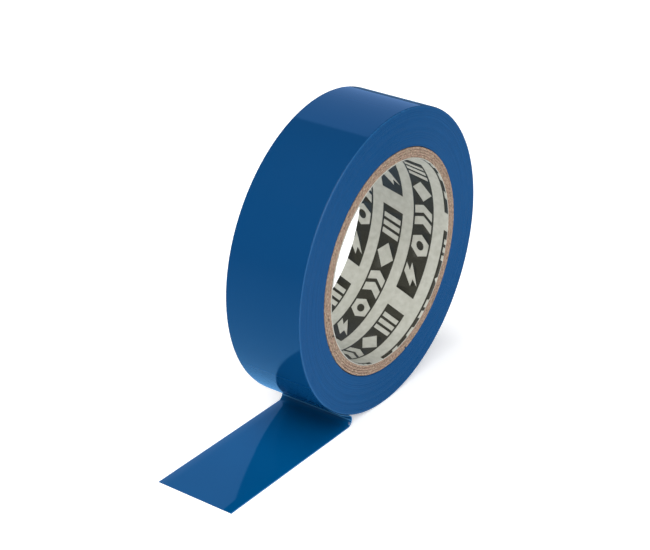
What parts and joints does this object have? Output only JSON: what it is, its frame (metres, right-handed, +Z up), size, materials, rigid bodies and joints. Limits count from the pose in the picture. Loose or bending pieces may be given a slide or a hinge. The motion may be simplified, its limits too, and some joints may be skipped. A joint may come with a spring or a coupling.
{
  "type": "electrical tape roll",
  "caption": "Roll of narrow glossy PVC electrical tape on a longer kraft paper core, standing on its tread with its free end folded back under and lying flat.",
  "frame": {"origin": "on the axis of the core's bore, half way between the tape's two side faces", "axes": "+Y along the roll's axis, +Z up, the free tail runs out towards -X; the surface that the roll stands on is at z = -28.5 mm"},
  "size_m": [0.0749, 0.0197, 0.057],
  "materials": {
    "tape_film": "glossy calendered PVC film, blue",
    "tape_adhesive": "tacky rubber adhesive, satin",
    "core_kraft": "cut kraft board, fibrous and matt",
    "core_print": "pale coated paper with dark printed boxes"
  },
  "bodies": {
    "roll": {"core_liner": "core_print", "core_inner_ply": "core_kraft", "core_second_ply": "core_kraft", "core_third_ply": "core_kraft", "core_outer_ply": "core_kraft", "wound_tape": "tape_film", "outer_turn": "tape_film"},
    "fold": {"fold_film": "tape_film", "fold_adhesive": "tape_adhesive"},
    "tail_1": {"tail_film_1": "tape_film", "tail_adhesive_1": "tape_adhesive"},
    "tail_2": {"tail_film_2": "tape_film", "tail_adhesive_2": "tape_adhesive"},
    "tail_3": {"tail_film_3": "tape_film", "tail_adhesive_3": "tape_adhesive"},
    "tail_4": {"tail_film_4": "tape_film", "tail_adhesive_4": "tape_adhesive"},
    "tail_5": {"tail_film_5": "tape_film", "tail_adhesive_5": "tape_adhesive"}
  },
  "joints": [
    {"name": "unwind", "type": "hinge", "parent": "roll", "child": "fold", "pos_m": [0, 0, 0], "axis": [0, 1, 0], "continuous": true},
    {"name": "tail_lift", "type": "hinge", "parent": "fold", "child": "tail_1", "pos_m": [-0.0132, 0, -0.02837], "axis": [0, 1, 0], "range_deg": [0, 28]},
    {"name": "tail_curl_2", "type": "hinge", "parent": "tail_1", "child": "tail_2", "pos_m": [-0.01984, 0, -0.02837], "axis": [0, 1, 0], "range_deg": [0, 14]},
    {"name": "tail_curl_3", "type": "hinge", "parent": "tail_2", "child": "tail_3", "pos_m": [-0.02648, 0, -0.02837], "axis": [0, 1, 0], "range_deg": [0, 14]},
    {"name": "tail_curl_4", "type": "hinge", "parent": "tail_3", "child": "tail_4", "pos_m": [-0.03312, 0, -0.02837], "axis": [0, 1, 0], "range_deg": [0, 14]},
    {"name": "tail_curl_5", "type": "hinge", "parent": "tail_4", "child": "tail_5", "pos_m": [-0.03976, 0, -0.02837], "axis": [0, 1, 0], "range_deg": [0, 14]}
  ],
  "couplings": [
    {"joint": "tail_curl_2", "follows": "tail_lift", "ratio": 0.5},
    {"joint": "tail_curl_3", "follows": "tail_lift", "ratio": 0.5},
    {"joint": "tail_curl_4", "follows": "tail_lift", "ratio": 0.5},
    {"joint": "tail_curl_5", "follows": "tail_lift", "ratio": 0.5}
  ]
}
